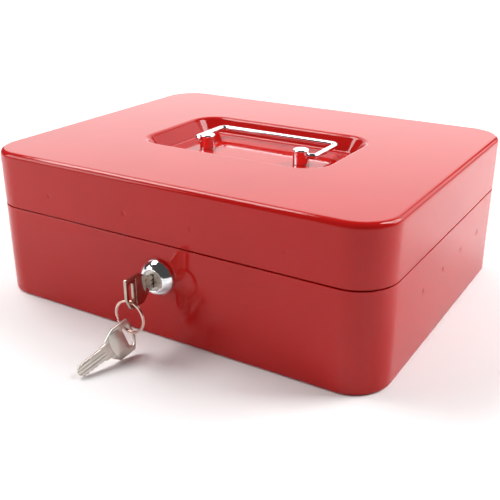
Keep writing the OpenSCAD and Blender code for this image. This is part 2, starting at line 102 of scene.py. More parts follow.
class Outline:
    """Points round a rounded rectangle. columns_x and columns_y are the places of the points
    along its straight sides, from -1 to 1."""

    def __init__(self, columns_x, columns_y, corner_steps=16):
        self.fx = columns_x
        self.fy = columns_y
        self.corner = [90 * i / corner_steps for i in range(1, corner_steps)]

    def ring(self, hx, hy, r, z):
        """A ring at height z, with corner centres at (+-hx, +-hy) and corner radius r."""
        points = []

        def side(x0, y0, x1, y1, places):
            for f in places:
                t = (f + 1) / 2
                points.append((x0 + (x1 - x0) * t, y0 + (y1 - y0) * t, z))

        def corner(cx, cy, start):
            for a in self.corner:
                turn = math.radians(start + a)
                points.append((cx + r * math.cos(turn), cy + r * math.sin(turn), z))

        back_x = [-f for f in reversed(self.fx)]
        back_y = [-f for f in reversed(self.fy)]
        side(hx + r, -hy, hx + r, hy, self.fy)
        corner(hx, hy, 0)
        side(hx, hy + r, -hx, hy + r, back_x)
        corner(-hx, hy, 90)
        side(-hx - r, hy, -hx - r, -hy, back_y)
        corner(-hx, -hy, 180)
        side(-hx, -hy - r, hx, -hy - r, self.fx)
        corner(hx, -hy, 270)
        return points


def skin(rings):
    """Closed surface through a stack of rings of equal length, with a fan at both ends."""
    n = len(rings[0])
    points = [p for ring in rings for p in ring]
    faces = []
    for i in range(len(rings) - 1):
        for j in range(n):
            k = (j + 1) % n
            faces.append((i * n + j, i * n + k, (i + 1) * n + k, (i + 1) * n + j))
    for ring, first in ((rings[0], 0), (rings[-1], (len(rings) - 1) * n)):
        centre = Vector((0, 0, 0))
        for p in ring:
            centre += Vector(p) / n
        points.append(tuple(centre))
        faces += [(first + j, first + (j + 1) % n, len(points) - 1) for j in range(n)]
    return points, faces


def lathe(profile, steps=96):
    """Surface of revolution about z of a closed profile of (radius, height) points."""
    points, faces = [], []
    m = len(profile)
    for i in range(steps):
        a = TAU * i / steps
        points += [(r * math.cos(a), r * math.sin(a), z) for r, z in profile]
    for i in range(steps):
        for j in range(m):
            here, there = i * m, (i + 1) % steps * m
            faces.append((here + j, there + j, there + (j + 1) % m, here + (j + 1) % m))
    return points, faces


def tube(path, section, side_hint=Vector((0, 1, 0))):
    """Sweeps a section of (u, v) points along a path, with closed ends. v stays close to side_hint."""
    path = [Vector(p) for p in path]
    points, faces = [], []
    m = len(section)
    for i, p in enumerate(path):
        along = (path[min(i + 1, len(path) - 1)] - path[max(i - 1, 0)]).normalized()
        u = side_hint.cross(along).normalized()
        v = along.cross(u)
        points += [tuple(p + u * a + v * b) for a, b in section]
    for i in range(len(path) - 1):
        for j in range(m):
            k = (j + 1) % m
            faces.append((i * m + j, i * m + k, (i + 1) * m + k, (i + 1) * m + j))
    faces.append(tuple(range(m)))
    faces.append(tuple((len(path) - 1) * m + j for j in reversed(range(m))))
    return points, faces


def circle(r, steps):
    """Points round the origin."""
    return [(r * math.cos(TAU * i / steps), r * math.sin(TAU * i / steps)) for i in range(steps)]


def make(name, shape, material, body, replaces=(), matrix=None, smooth_angle=35):
    """A piece of the object from points in millimetres and faces."""
    points, faces = shape
    mesh = bpy.data.meshes.new(name)
    mesh.from_pydata([Vector(p) * MM for p in points], [], faces)
    work = bmesh.new()
    work.from_mesh(mesh)
    bmesh.ops.remove_doubles(work, verts=work.verts, dist=1e-7)
    bmesh.ops.recalc_face_normals(work, faces=work.faces)
    work.to_mesh(mesh)
    work.free()
    piece = bpy.data.objects.new(name, mesh)
    bpy.context.scene.collection.objects.link(piece)
    if matrix is not None:
        piece.matrix_world = matrix
    mesh.materials.append(material)
    shade(piece, smooth_angle)
    if body:
        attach(piece, body)
    if replaces:
        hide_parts(*replaces)
    return piece


def shade(piece, angle=35):
    """Smooth shading, except over edges sharper than the angle in degrees."""
    for polygon in piece.data.polygons:
        polygon.use_smooth = True
    work = bmesh.new()
    work.from_mesh(piece.data)
    for edge in work.edges:
        edge.smooth = len(edge.link_faces) == 2 and edge.calc_face_angle(0) < math.radians(angle)
    work.to_mesh(piece.data)
    work.free()


def cut(piece, shape, matrix=None):
    """Cuts a closed shape out of a piece, for good."""
    tool = make("cutter", shape, piece.data.materials[0], None, matrix=matrix)
    step = piece.modifiers.new("cut", "BOOLEAN")
    step.object = tool
    step.operation = "DIFFERENCE"
    step.solver = "EXACT"
    bpy.context.view_layer.update()
    ready = piece.evaluated_get(bpy.context.evaluated_depsgraph_get())
    mesh = bpy.data.meshes.new_from_object(ready)
    piece.modifiers.clear()
    old = piece.data
    piece.data = mesh
    mesh.name = old.name
    bpy.data.meshes.remove(old)
    bpy.data.objects.remove(tool)


def rod(r, length):
    """Round cutter along z from 0."""
    steps = 64
    points = [(x, y, z) for z in (0, length) for x, y in circle(r, steps)]
    faces = [(j, (j + 1) % steps, steps + (j + 1) % steps, steps + j) for j in range(steps)]
    faces.append(tuple(reversed(range(steps))))
    faces.append(tuple(range(steps, 2 * steps)))
    return points, faces


def block(low, high):
    """Square cutter or square bar between two corners."""
    across, along, up = zip(low, high)
    points = [(x, y, z) for x in across for y in along for z in up]
    faces = [(0, 1, 3, 2), (4, 6, 7, 5), (0, 4, 5, 1), (2, 3, 7, 6), (0, 2, 6, 4), (1, 5, 7, 3)]
    return points, faces


def placed(x, y, z, turn=(0, 0, 0)):
    """Matrix that puts a shape at a place in millimetres, turned by degrees about X, then Y, then Z."""
    angles = [math.radians(a) for a in turn]
    return Matrix.Translation(Vector((x, y, z)) * MM) @ Euler(angles, "XYZ").to_matrix().to_4x4()


def soften(piece, width, segments=2, angle=30):
    """Rounds the edges of a piece or a CAD node that are sharper than the angle."""
    weld = piece.modifiers.new("weld", "WELD")
    weld.merge_threshold = WELD_REACH * MM
    bevel = piece.modifiers.new("bevel", "BEVEL")
    bevel.width = width * MM
    bevel.segments = segments
    bevel.limit_method = "ANGLE"
    bevel.angle_limit = math.radians(angle)
    bevel.harden_normals = True
    bevel.miter_outer = "MITER_ARC"


def even_normals(piece):
    """Large flat faces keep their own normal, so rounded edges shade cleanly."""
    even = piece.modifiers.new("normals", "WEIGHTED_NORMAL")
    even.weight = 80
    even.keep_sharp = True


# ---------------------------------------------------------------- materials

class Paint:
    """A node material with a Principled shader, and short ways to add textures to it."""

    def __init__(self, name):
        self.material = bpy.data.materials.new(name)
        self.material.use_nodes = True
        self.nodes = self.material.node_tree.nodes
        self.links = self.material.node_tree.links
        self.shader = self.nodes["Principled BSDF"]
        self.where = self.nodes.new("ShaderNodeTexCoord").outputs["Object"]

    def set(self, **values):
        for key, value in values.items():
            self.shader.inputs[key.replace("_", " ")].default_value = value

    def stretched(self, scale, where=None):
        """Coordinates scaled along each axis, the object's own unless others are given."""
        node = self.nodes.new("ShaderNodeMapping")
        node.inputs["Scale"].default_value = scale
        self.links.new(where or self.where, node.inputs["Vector"])
        return node.outputs["Vector"]

    def length(self, start):
        """Distance of each point from a start point in millimetres."""
        node = self.nodes.new("ShaderNodeVectorMath")
        node.operation = "DISTANCE"
        node.inputs[1].default_value = [c * MM for c in start]
        self.links.new(self.where, node.inputs[0])
        return node.outputs["Value"]

    def noise(self, scale, detail=2, roughness=0.5, where=None):
        node = self.nodes.new("ShaderNodeTexNoise")
        node.inputs["Scale"].default_value = scale
        node.inputs["Detail"].default_value = detail
        node.inputs["Roughness"].default_value = roughness
        self.links.new(where or self.where, node.inputs["Vector"])
        return node.outputs["Fac"]

    def cells(self, scale, where=None, feature="F1"):
        node = self.nodes.new("ShaderNodeTexVoronoi")
        node.feature = feature
        node.inputs["Scale"].default_value = scale
        self.links.new(where or self.where, node.inputs["Vector"])
        return node.outputs["Distance"]

    def span(self, value, low, high, out_low, out_high):
        """Maps low..high to out_low..out_high, clamped."""
        node = self.nodes.new("ShaderNodeMapRange")
        for key, number in zip(("From Min", "From Max", "To Min", "To Max"), (low, high, out_low, out_high)):
            node.inputs[key].default_value = number
        self.links.new(value, node.inputs["Value"])
        return node.outputs["Result"]

    def tint(self, value, stops):
        """Colour ramp from (place, colour) stops."""
        node = self.nodes.new("ShaderNodeValToRGB")
        ramp = node.color_ramp
        while len(ramp.elements) < len(stops):
            ramp.elements.new(0.5)
        for element, (place, colour) in zip(ramp.elements, stops):
            element.position = place
            element.color = (*colour, 1)
        self.links.new(value, node.inputs["Fac"])
        return node.outputs["Color"]

    def feed(self, socket, value):
        self.links.new(value, self.shader.inputs[socket])

    def bump(self, *layers):
        """Adds bump layers of (height, depth in millimetres)."""
        normal = None
        for height, depth in layers:
            node = self.nodes.new("ShaderNodeBump")
            node.inputs["Strength"].default_value = 1
            node.inputs["Distance"].default_value = depth * MM
            self.links.new(height, node.inputs["Height"])
            if normal is not None:
                self.links.new(normal, node.inputs["Normal"])
            normal = node.outputs["Normal"]
        self.links.new(normal, self.shader.inputs["Normal"])


def red_paint():
    """Glossy red powder coat: orange peel, a little cloudiness and a few fine specks."""
    p = Paint("red_powder_coat")
    cloud = p.noise(18, 3)
    p.feed("Base Color", p.tint(cloud, [(0.3, (0.465, 0.0085, 0.0070)), (0.7, (0.505, 0.0100, 0.0083))]))
    p.feed("Roughness", p.span(p.noise(60, 4), 0.3, 0.7, 0.05, 0.10))
    peel = p.noise(420, 2, 0.45)
    fine = p.noise(2600, 2, 0.5)
    speck = p.span(p.cells(160), 0.0, 0.05, 1, 0)
    streaks = p.noise(85, 4, 0.62, p.stretched((1, 1, 0.035)))
    p.bump((streaks, 0.045), (peel, 0.010), (fine, 0.0012), (speck, 0.006))
    p.set(IOR=1.38)
    return p.material


def chrome():
    """Bright chrome plate with faint polishing haze and smudges."""
    p = Paint("bright_chrome")
    smudge = p.noise(140, 4, 0.6)
    p.feed("Base Color", p.tint(smudge, [(0.3, (0.78, 0.78, 0.80)), (0.7, (0.88, 0.88, 0.89))]))
    p.feed("Roughness", p.span(smudge, 0.35, 0.75, 0.04, 0.13))
    p.bump((p.noise(900, 2), 0.0012), (p.noise(5000, 2), 0.0004))
    p.set(Metallic=1)
    return p.material


def ring_nickel():
    """Warm nickel-plated ring wire with drawn lines and worn spots."""
    p = Paint("ring_nickel")
    worn = p.noise(420, 4, 0.6)
    p.feed("Base Color", p.tint(worn, [(0.3, (0.66, 0.43, 0.37)), (0.7, (0.82, 0.62, 0.55))]))
    p.feed("Roughness", p.span(worn, 0.35, 0.75, 0.08, 0.20))
    p.bump((p.noise(2600, 2), 0.001))
    p.set(Metallic=1)
    return p.material


def zinc():
    """Bright zinc plate: patchy, faintly warm and cool, with fine grain."""
    p = Paint("zinc_plate")
    patch = p.noise(220, 4, 0.6)
    tones = [(0.3, (0.52, 0.53, 0.56)), (0.55, (0.64, 0.64, 0.63)), (0.8, (0.70, 0.68, 0.60))]
    p.feed("Base Color", p.tint(patch, tones))
    p.feed("Roughness", p.span(p.noise(700, 3), 0.3, 0.7, 0.26, 0.46))
    p.bump((p.noise(3000, 3), 0.002))
    p.set(Metallic=1)
    return p.material


def turned_nickel():
    """Worn nickel with turning marks round the lock axis."""
    p = Paint("turned_nickel")
    middle = p.nodes.new("ShaderNodeVectorMath")
    middle.operation = "SUBTRACT"
    middle.inputs[1].default_value = (0, FRONT_Y * MM, LOCK_Z * MM)
    p.links.new(p.where, middle.inputs[0])
    rings = p.nodes.new("ShaderNodeTexWave")
    rings.wave_type = "RINGS"
    rings.rings_direction = "Y"
    rings.inputs["Scale"].default_value = 900
    rings.inputs["Distortion"].default_value = 1.5
    rings.inputs["Detail"].default_value = 2
    p.links.new(middle.outputs["Vector"], rings.inputs["Vector"])
    worn = p.noise(500, 4, 0.6)
    p.feed("Base Color", p.tint(worn, [(0.3, (0.42, 0.40, 0.37)), (0.7, (0.62, 0.60, 0.56))]))
    p.feed("Roughness", p.span(worn, 0.3, 0.7, 0.22, 0.42))
    p.bump((rings.outputs["Fac"], 0.004), (p.noise(3500, 2), 0.002))
    p.set(Metallic=1)
    return p.material


def brushed_nickel(name, matrix, tones, polish):
    """Satin nickel key, brushed along its length, with small handling marks. The brushing
    follows the key, which lies at the given matrix."""
    p = Paint(name)
    along = p.nodes.new("ShaderNodeMapping")
    along.vector_type = "TEXTURE"
    along.inputs["Location"].default_value = matrix.to_translation()
    along.inputs["Rotation"].default_value = matrix.to_euler("XYZ")
    p.links.new(p.where, along.inputs["Vector"])
    own = along.outputs["Vector"]
    lines = p.noise(1100, 3, 0.6, p.stretched((0.05, 1, 1), own))
    worn = p.noise(120, 3, 0.5, own)
    p.feed("Base Color", p.tint(worn, [(0.3, tones[0]), (0.7, tones[1])]))
    p.feed("Roughness", p.span(lines, 0.3, 0.7, *polish))
    nick = p.span(p.cells(260, own), 0.0, 0.06, 1, 0)
    p.bump((lines, 0.0012), (nick, 0.006))
    p.set(Metallic=1)
    return p.material


def brass():
    """Rolled brass with faint rolling lines and darker tarnish."""
    p = Paint("rolled_brass")
    tarnish = p.noise(300, 4, 0.6)
    p.feed("Base Color", p.tint(tarnish, [(0.3, (0.55, 0.40, 0.18)), (0.7, (0.80, 0.62, 0.30))]))
    p.feed("Roughness", p.span(tarnish, 0.3, 0.7, 0.22, 0.45))
    p.bump((p.noise(1200, 2, 0.5, p.stretched((1, 1, 0.1))), 0.003))
    p.set(Metallic=1)
    return p.material


def black_moulding():
    """Black moulded plastic with a fine spark-eroded grain and light scuffs."""
    p = Paint("black_moulding")
    scuff = p.noise(90, 5, 0.65)
    p.feed("Base Color", p.tint(scuff, [(0.35, (0.012, 0.012, 0.014)), (0.75, (0.030, 0.030, 0.033))]))
    p.feed("Roughness", p.span(scuff, 0.3, 0.75, 0.40, 0.58))
    p.bump((p.cells(1600, feature="SMOOTH_F1"), 0.02), (p.noise(4200, 2), 0.008))
    p.set(IOR=1.48)
    return p.material


def pale_floor():
    """Matt pale sweep that glows more and more from 0.6 m to 1.6 m away from the object: painted light, not
    a lamp.
    """
    p = Paint("pale_floor")
    p.feed("Base Color", p.tint(p.noise(3, 3), [(0.3, (0.94, 0.94, 0.94)), (0.7, (0.96, 0.96, 0.96))]))
    p.bump((p.noise(900, 3), 0.01))
    # Painted light: the floor's glow grows with its distance from the object
    p.feed("Emission Strength", p.span(p.length((0, 0, 0)), 0.6, 1.6, 0, 0.9))
    p.set(Roughness=0.7, IOR=1.3, Emission_Color=(1, 1, 1, 1))
    return p.material


RED = red_paint()
CHROME = chrome()
ZINC = zinc()
TURNED = turned_nickel()
BRASS = brass()
BLACK = black_moulding()


# ---------------------------------------------------------------- sheet-metal shells

# Spot welds on the lid's front wall and on the body's side walls
LID_DENTS_X = [-91, -26, 26, 91]
LID_DENT_Z = 82
BODY_DENTS_Y = [-50, -12, 26, 64]
BODY_DENT_Z = 43
DENT_DEPTH, DENT_R = 0.5, 1.5
HALF_X = BOX_W / 2 - CORNER_R
HALF_Y = BOX_D / 2 - CORNER_R
RECESS_Z = BOX_H - RECESS_DEPTH


def columns(half, dents):
    """Places of the points along a straight side that is 2 * half long."""
    return [v / half for v in marks(spread(-half, half, 24), dents)]


def dents(across, height, centres, centre_height):
    """Depth of the spot welds' dents at a point of a wall."""
    depth = 0
    for at in centres:
        far = math.hypot(across - at, height - centre_height)
        depth += DENT_DEPTH * math.exp(-((far / DENT_R) ** 2))
    return depth


def waves(across, height, half, long_wave, short_wave, shift):
    """Depth of the shallow waves that drawing leaves in a wall, none at its ends."""
    fade = math.cos(across / half * math.pi / 2) ** 0.5
    slow = 0.05 * math.sin(across / long_wave + shift) * math.sin(height / 17)
    return fade * (slow + 0.03 * math.sin(across / short_wave + height / 9))


def hollow(p):
    """Moves a point of a wall by what spot welds and drawing do to the sheet."""
    x, y, z = p
    wall_x = abs(abs(x) - BOX_W / 2) < 1.2
    wall_y = abs(abs(y) - BOX_D / 2) < 1.2
    if wall_y and abs(x) < HALF_X:
        depth = dents(x, z, LID_DENTS_X, LID_DENT_Z) if z > LID_LOW.z and y < 0 else 0
        depth += waves(x, z, HALF_X, 31, 13, 0.6)
        return (x, y - math.copysign(1, y) * depth, z)
    if wall_x and abs(y) < HALF_Y:
        depth = dents(y, z, BODY_DENTS_Y, BODY_DENT_Z) if z < LID_LOW.z else 0
        depth += waves(y, z, HALF_Y, 27, 12, 1.1)
        return (x - math.copysign(1, x) * depth, y, z)
    return p


def lid_rings(outline):
    """From the middle of the recess out over the top, down the wall, and back inside."""
    rhx = RECESS_W / 2 - RECESS_R
    rhy = RECESS_D / 2 - RECESS_R
    slope = math.degrees(math.atan2(RECESS_DEPTH, RECESS_RUN))
    lip_x = RECESS_R + LIP_R * math.tan(math.radians(slope / 2))
    foot_x = RECESS_R - RECESS_RUN - FOOT_R * math.tan(math.radians(slope / 2))
    inner = CORNER_R - SHEET
    rows = []

    def recess_floor(z, shares):
        for s in shares:
            rows.append((rhx * s, rhy * s, foot_x * s, z))

    def recess(points):
        for x, z in points:
            rows.append((rhx, rhy, x, z))

    def panel(z, places):
        for t in places:
            rows.append((rhx + (HALF_X - rhx) * t, rhy + (HALF_Y - rhy) * t,
                         lip_x + (CORNER_R - LID_EDGE_R - lip_x) * t, z))

    def wall(points):
        for x, z in points:
            rows.append((HALF_X, HALF_Y, x, z))

    shares = [0.03, 0.2, 0.4, 0.6, 0.8, 0.93, 0.985]
    places = [0.012, 0.06, 0.16, 0.3, 0.45, 0.6, 0.75, 0.88, 0.96, 0.99]
    wall_rows = marks(spread(LID_LOW.z + 0.8, BOX_H - LID_EDGE_R - 0.4, 10), [LID_DENT_Z])
    recess_floor(RECESS_Z, shares)
    recess(arc(foot_x, RECESS_Z + FOOT_R, FOOT_R, 270, 270 + slope, 10))
    recess(arc(lip_x, BOX_H - LIP_R, LIP_R, 90 + slope, 90, 12))
    panel(BOX_H, places)
    wall(arc(CORNER_R - LID_EDGE_R, BOX_H - LID_EDGE_R, LID_EDGE_R, 90, 0, 14))
    wall([(CORNER_R, z) for z in reversed(wall_rows)])
    wall(arc(CORNER_R - HEM_R, LID_LOW.z + HEM_R, HEM_R, 0, -90, 5))
    wall(arc(inner + HEM_R, LID_LOW.z + HEM_R, HEM_R, -90, -180, 5))
    wall([(inner, z) for z in wall_rows])
    wall(arc(CORNER_R - LID_EDGE_R, BOX_H - LID_EDGE_R, LID_EDGE_R - SHEET, 0, 90, 10))
    panel(BOX_H - SHEET, reversed(places))
    recess(arc(lip_x, BOX_H - LIP_R, LIP_R - SHEET, 90, 90 + slope, 8))
    recess(arc(foot_x, RECESS_Z + FOOT_R, FOOT_R + SHEET, 270 + slope, 270, 10))
    recess_floor(RECESS_Z - SHEET, reversed(shares))
    return [[hollow(p) for p in outline.ring(*row)] for row in rows]


def body_rings(outline):
    """From the middle of the underside out, up the wall and over the rim, and back inside."""
    inner = CORNER_R - SHEET
    rim = CORNER_R - JOGGLE
    rim_top = BODY_HIGH.z
    rows = []

    def floor(z, shares):
        for s in shares:
            rows.append((HALF_X * s, HALF_Y * s, (CORNER_R - BASE_EDGE_R) * s, z))

    def wall(points):
        for x, z in points:
            rows.append((HALF_X, HALF_Y, x, z))

    shares = [0.02, 0.25, 0.5, 0.75, 0.93, 0.99]
    wall_rows = marks(spread(BASE_EDGE_R + 0.4, SHOULDER_Z - 0.8, 12), [BODY_DENT_Z])
    floor(0, shares)
    wall(arc(CORNER_R - BASE_EDGE_R, BASE_EDGE_R, BASE_EDGE_R, 270, 360, 10))
    wall([(CORNER_R, z) for z in wall_rows])
    wall(arc(CORNER_R - HEM_R, SHOULDER_Z - HEM_R, HEM_R, 0, 90, 5))
    wall(arc(rim + 0.3, SHOULDER_Z + 0.3, 0.3, 270, 180, 4))
    wall([(rim, SHOULDER_Z + 1), (rim, rim_top - 0.6)])
    wall(arc(rim - 0.3, rim_top - 0.3, 0.3, 0, 90, 4))
    wall(arc(rim - SHEET + 0.3, rim_top - 0.3, 0.3, 90, 180, 4))
    wall([(rim - SHEET, rim_top - 0.6), (rim - SHEET, SHOULDER_Z + 0.4)])
    wall(arc(rim - SHEET + 0.9, SHOULDER_Z, 0.9, 180, 270, 5))
    wall(arc(inner - 0.2, SHOULDER_Z - SHEET - 0.2, 0.2, 90, 0, 3))
    wall([(inner, z) for z in reversed(wall_rows)])
    wall(arc(CORNER_R - BASE_EDGE_R, BASE_EDGE_R, BASE_EDGE_R - SHEET, 360, 270, 8))
    floor(SHEET, reversed(shares))
    return [[hollow(p) for p in outline.ring(*row)] for row in rows]


POSTS = [node_box("handle_post_left"), node_box("handle_post_right")]
POST_CENTRES = [((low.x + high.x) / 2, (low.y + high.y) / 2) for low, high in POSTS]


def build_lid():
    outline = Outline(columns(HALF_X, LID_DENTS_X), columns(HALF_Y, []))
    lid = make("lid_skin", skin(lid_rings(outline)), RED, None)
    for x, y in POST_CENTRES:
        cut(lid, rod(SCREW_HOLE_R, 10), placed(x, y, RECESS_Z - 5))
    shade(lid, 50)
    even_normals(lid)
    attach(lid, "lid")
    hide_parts("lid_shell")


def build_body():
    outline = Outline(columns(HALF_X, []), columns(HALF_Y, BODY_DENTS_Y))
    body = make("body_skin", skin(body_rings(outline)), RED, None)
    cut(body, rod(LOCK_HOLE_R, 10), placed(0, FRONT_Y - 5, LOCK_Z, (-90, 0, 0)))
    shade(body, 50)
    even_normals(body)
    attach(body, "box")
    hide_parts("body_shell")


build_lid()
build_body()


# ---------------------------------------------------------------- handle

WIRE_R = 2
BAIL_LOW, BAIL_HIGH = node_box("handle_bail")
PIVOT_Z = (BAIL_LOW.z + BAIL_HIGH.z) / 2
ELBOW_R, GRIP_R = 3.6, 4.4


def build_bail():
    """One bent wire, its ends in the posts."""
    half = BAIL_HIGH.x - WIRE_R
    stub = POST_CENTRES[1][0] - 3.5
    near = POST_CENTRES[1][1]
    far = BAIL_HIGH.y - WIRE_R
    right = [(stub, near), (half - ELBOW_R - 3, near)]
    right += arc(half - ELBOW_R, near + ELBOW_R, ELBOW_R, 270, 360, 12)
    right += [(half, y) for y in spread(near + ELBOW_R + 1, far - GRIP_R - 1, 6)]
    right += arc(half - GRIP_R, far - GRIP_R, GRIP_R, 0, 90, 12)
    grip = [(x, far) for x in spread(half - GRIP_R - 1, GRIP_R + 1 - half, 10)]
    path = right + grip + [(-x, y) for x, y in reversed(right)]
    points = [(x, y, PIVOT_Z) for x, y in path]
    make("handle_wire", tube(points, circle(WIRE_R, 40), side_hint=Vector((0, 0, 1))), CHROME, "handle",
         ["handle_bail"])


def build_posts():
    """Turned posts with a bearing hole for the wire and a threaded hole for the screw below."""
    tap_r, tap_depth = 2.05, 4.2
    for side, (low, high) in zip((-1, 1), POSTS):
        r = (high.x - low.x) / 2
        h = high.z - low.z
        x, y = (low.x + high.x) / 2, (low.y + high.y) / 2
        profile = [(tap_r, 0)] + arc(r - 0.3, 0.3, 0.3, 270, 360, 4) + [(r, 0.8), (r, h - 1.6)]
        profile += arc(r - 1.1, h - 1.1, 1.1, 0, 90, 10)
        profile += [(r - 2, h + 0.02), (tap_r, h + 0.06), (0.01, h + 0.07)]
        profile += [(0.01, tap_depth), (tap_r, tap_depth)]
        name = "handle_post_" + ("left" if side < 0 else "right")
        post = make(name + "_turned", lathe(profile, 96), CHROME, None, matrix=placed(x, y, low.z))
        cut(post, rod(WIRE_R + 0.06, 12), placed(x - side * 4, y, PIVOT_Z, (0, side * 90, 0)))
        shade(post, 35)
        soften(post, 0.12, 2, 40)
        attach(post, "lid")
        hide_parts(name)


build_bail()
build_posts()


# ---------------------------------------------------------------- lock

HOUSING_LOW, HOUSING_HIGH = node_box("lock_housing")
BEZEL_R = (HOUSING_HIGH.x - HOUSING_LOW.x) / 2
FACE_S = HOUSING_LOW.y - FRONT_Y
BARREL_LEN = HOUSING_HIGH.y - FRONT_Y
PLUG_R, HEAD_R = 6, 7
PLUG_FACE_S = FACE_S + 0.4
BARREL_R = 9
RUNNING = 0.06
KEYWAY_W, KEYWAY_H, KEYWAY_LEN = 2.9, 9.4, 18.5
TAIL_W = 7
LOCK_AT = placed(0, FRONT_Y, LOCK_Z, (-90, 0, 0))


def build_housing():
    """Domed bezel and threaded barrel. Heights in the profile run inward from the wall."""
    dome_low, face_r = -1.6, 8.4
    dome_c = (BEZEL_R ** 2 + dome_low ** 2 - face_r ** 2 - FACE_S ** 2) / (2 * (dome_low - FACE_S))
    dome_r = math.hypot(BEZEL_R, dome_low - dome_c)
    start = math.degrees(math.atan2(dome_low - dome_c, BEZEL_R))
    end = math.degrees(math.atan2(FACE_S - dome_c, face_r))
    dome = arc(0, dome_c, dome_r, start, end, 14)
    seat = PLUG_FACE_S + 2 + RUNNING
    end_s = BARREL_LEN - RUNNING
    profile = [(BARREL_R, 0), (BEZEL_R - 0.3, 0), (BEZEL_R, -0.3), (BEZEL_R, dome_low + 0.25)] + dome[1:-1]
    profile += arc(face_r - 0.35, FACE_S + 0.35, 0.35, -40, -90, 4)
    profile += arc(HEAD_R + RUNNING + 0.35, FACE_S + 0.35, 0.35, 270, 180, 4)
    profile += [(HEAD_R + RUNNING, seat), (PLUG_R + RUNNING, seat), (PLUG_R + RUNNING, end_s)]
    profile += [(BARREL_R - 0.7, end_s), (BARREL_R - 0.3, BARREL_LEN - 0.5)]
    threads = int(BARREL_LEN - 3)
    for i in range(threads):
        s = BARREL_LEN - 1 - i
        profile += [(BARREL_R, s), (BARREL_R - 0.32, s - 0.5)]
    profile += [(BARREL_R, BARREL_LEN - 1 - threads)]
    make("lock_bezel", lathe(profile, 128), CHROME, "box", ["lock_housing"], LOCK_AT, 30)


def build_plug():
    """Turning core with its keyway, and its square tail for the cam."""
    tail = node_box("lock_plug")[1].y - FRONT_Y
    end = BARREL_LEN - 0.2
    profile = [(0.01, PLUG_FACE_S)] + arc(HEAD_R - 0.4, PLUG_FACE_S + 0.4, 0.4, 270, 360, 5)
    profile += [(HEAD_R, PLUG_FACE_S + 2), (PLUG_R, PLUG_FACE_S + 2), (PLUG_R, end), (0.01, end)]
    plug = make("lock_core", lathe(profile, 96), TURNED, None, matrix=LOCK_AT)
    cut(plug, block((-KEYWAY_W / 2, -KEYWAY_H / 2, PLUG_FACE_S - 1),
                    (KEYWAY_W / 2, KEYWAY_H / 2, PLUG_FACE_S + KEYWAY_LEN)), LOCK_AT)
    shade(plug, 35)
    soften(plug, 0.25, 3, 50)
    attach(plug, "plug")
    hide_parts("lock_plug")
    half = TAIL_W / 2
    square = make("lock_core_tail", block((-half, -half, end - 0.5), (half, half, tail)), TURNED, None,
                  matrix=LOCK_AT)
    soften(square, 0.3, 2, 40)
    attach(square, "plug")


build_housing()
build_plug()


# ---------------------------------------------------------------- keys

KEY_T = 2
BOW_W, BOW_LEN, SLOT_IN = 21, 20, 4.5
BOW_IN = BOW_LEN - SLOT_IN
SHOULDER_IN = 20.2
KEY_TIP = 44 - SLOT_IN
NECK_W, BLADE_W = 10, 8
SLOT_W, SLOT_LEN = 4.2, 14
# (face, middle, half width) of the grooves along the blade
GROOVES = [(-1, -1.2, 0.7), (1, 1.2, 0.7), (-1, 1.3, 0.45), (1, -1.3, 0.45)]
GROOVE_DEPTH = 0.5
KEY_SLOT_Y = FRONT_Y - 28
RING_LIFT = 1.3
RING_R, RING_WIRE_R, RING_TURN = 10.6, 0.7, 0.45
# The ring leans to the left, and the spare key hangs in it, as the photo shows them
RING_X = -1.6
RING_Z = LOCK_Z - SLOT_LEN / 2 + RING_LIFT - RING_R + 0.1
SPARE_AT = (-4.651, KEY_SLOT_Y + 0.09, RING_Z - 14.454)
SPARE_TURN = (256.62, -14.323, 78.297)


def rounded(corners, steps=6):
    """Outline through (x, y, radius) corners, each rounded by its radius."""
    out = []
    n = len(corners)
    for i, (x, y, r) in enumerate(corners):
        here = Vector((x, y))
        before = Vector(corners[i - 1][:2]) - here
        after = Vector(corners[(i + 1) % n][:2]) - here
        angle = before.angle(after)
        reach = min(r / math.tan(angle / 2), before.length * 0.48, after.length * 0.48)
        r_true = reach * math.tan(angle / 2)
        a, b = before.normalized(), after.normalized()
        centre = here + (a + b).normalized() * (r_true / math.sin(angle / 2))
        first, last = here + a * reach - centre, here + b * reach - centre
        start = math.atan2(first.y, first.x)
        turn = math.atan2(last.y, last.x) - start
        turn = (turn + math.pi) % TAU - math.pi
        for k in range(steps + 1):
            t = start + turn * k / steps
            out.append((centre.x + r_true * math.cos(t), centre.y + r_true * math.sin(t)))
    return out


def inset(outline, amount):
    """Outline moved to its left by an amount, corner by corner."""
    out = []
    n = len(outline)
    for i, p in enumerate(outline):
        here = Vector(p)
        before = (here - Vector(outline[i - 1])).normalized()
        after = (Vector(outline[(i + 1) % n]) - here).normalized()
        mid = (before + after).normalized()
        reach = amount / max(mid.dot(after), 0.5)
        out.append((p[0] - mid.y * reach, p[1] + mid.x * reach))
    return out


def plate(outlines, thickness, edge):
    """Flat plate with rounded edges. The first outline runs anticlockwise round it, and the
    later ones run clockwise round its holes."""
    low = -thickness / 2
    levels = [(low, edge), (low + 0.29 * edge, 0.29 * edge), (low + edge, 0)]
    levels += [(-z, amount) for z, amount in reversed(levels)]
    points, faces = [], []
    total = sum(len(outline) for outline in outlines)
    for z, amount in levels:
        for outline in outlines:
            points += [(x, y, z) for x, y in inset(outline, amount)]
    for level in range(len(levels) - 1):
        start = level * total
        for outline in outlines:
            n = len(outline)
            for j in range(n):
                k = (j + 1) % n
                faces.append((start + j, start + k, start + total + k, start + total + j))
            start += n
    flat = [[Vector((x, y, 0)) for x, y in inset(outline, edge)] for outline in outlines]
    for a, b, c in geometry.tessellate_polygon(flat):
        faces.append((a, b, c))
        faces.append(tuple((len(levels) - 1) * total + i for i in (a, b, c)))
    return points, faces


def blade_cut(x, edge, inward, deep):
    """Corners of one small cut in an edge of the blade, inward being +1 or -1."""
    return [(x + 0.9, edge, 0.45), (x, edge + inward * deep, 0.3), (x - 0.9, edge, 0.45)]


